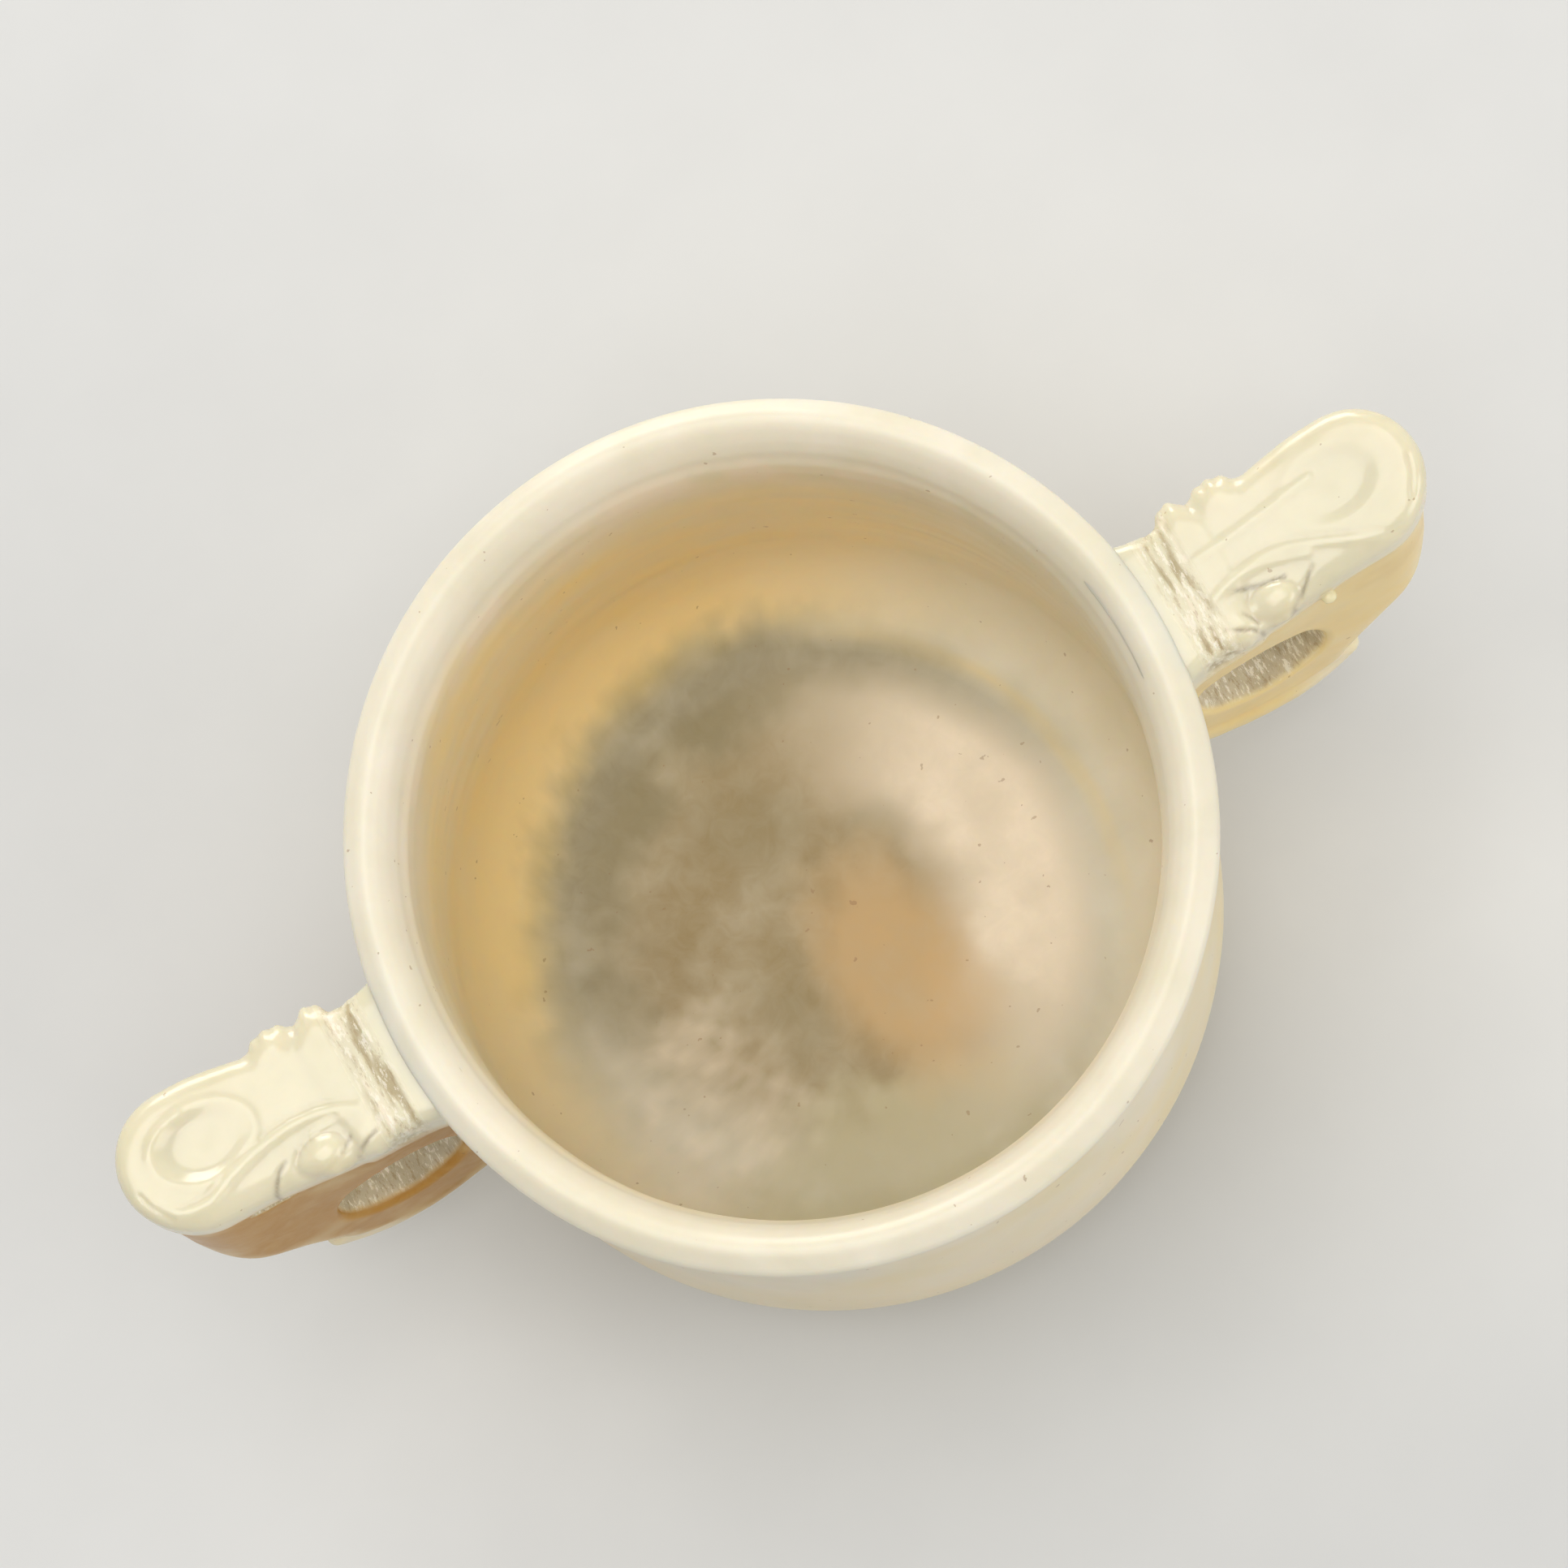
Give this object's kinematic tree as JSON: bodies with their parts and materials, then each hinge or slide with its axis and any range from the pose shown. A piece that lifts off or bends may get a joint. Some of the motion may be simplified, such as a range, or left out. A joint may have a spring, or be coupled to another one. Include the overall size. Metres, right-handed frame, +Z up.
{
  "type": "two-handled cup",
  "caption": "Deep round carved jade cup with a flared lip and a foot ring, and a pair of beast-head handles with thumb plates and finger holes.",
  "frame": {"origin": "centre of the foot, on the surface it stands on", "axes": "+Z up out of the mouth, +X through the right handle, -Y towards the front"},
  "size_m": [0.1356, 0.0824, 0.0566],
  "materials": {
    "bowl_jade": "polished, translucent, pale celadon to warm cream",
    "lip_jade": "highly polished, pale cream",
    "foot_jade": "polished, worn matt where it stands",
    "plate_jade": "polished, pale celadon cream",
    "neck_jade": "satin, with chisel lines",
    "loop_jade": "polished, honey amber on the flanks and cream on the edges",
    "ear_jade": "polished, cream to honey"
  },
  "bodies": {
    "root": {"bowl": "bowl_jade", "lip": "lip_jade", "foot_ring": "foot_jade", "right_thumb_plate": "plate_jade", "right_neck": "neck_jade", "right_loop": "loop_jade", "right_brow": "plate_jade", "right_front_inner_ear": "ear_jade", "right_front_outer_ear": "ear_jade", "right_back_inner_ear": "ear_jade", "right_back_outer_ear": "ear_jade", "left_thumb_plate": "plate_jade", "left_neck": "neck_jade", "left_loop": "loop_jade", "left_brow": "plate_jade", "left_front_inner_ear": "ear_jade", "left_front_outer_ear": "ear_jade", "left_back_inner_ear": "ear_jade", "left_back_outer_ear": "ear_jade"}
  },
  "joints": []
}
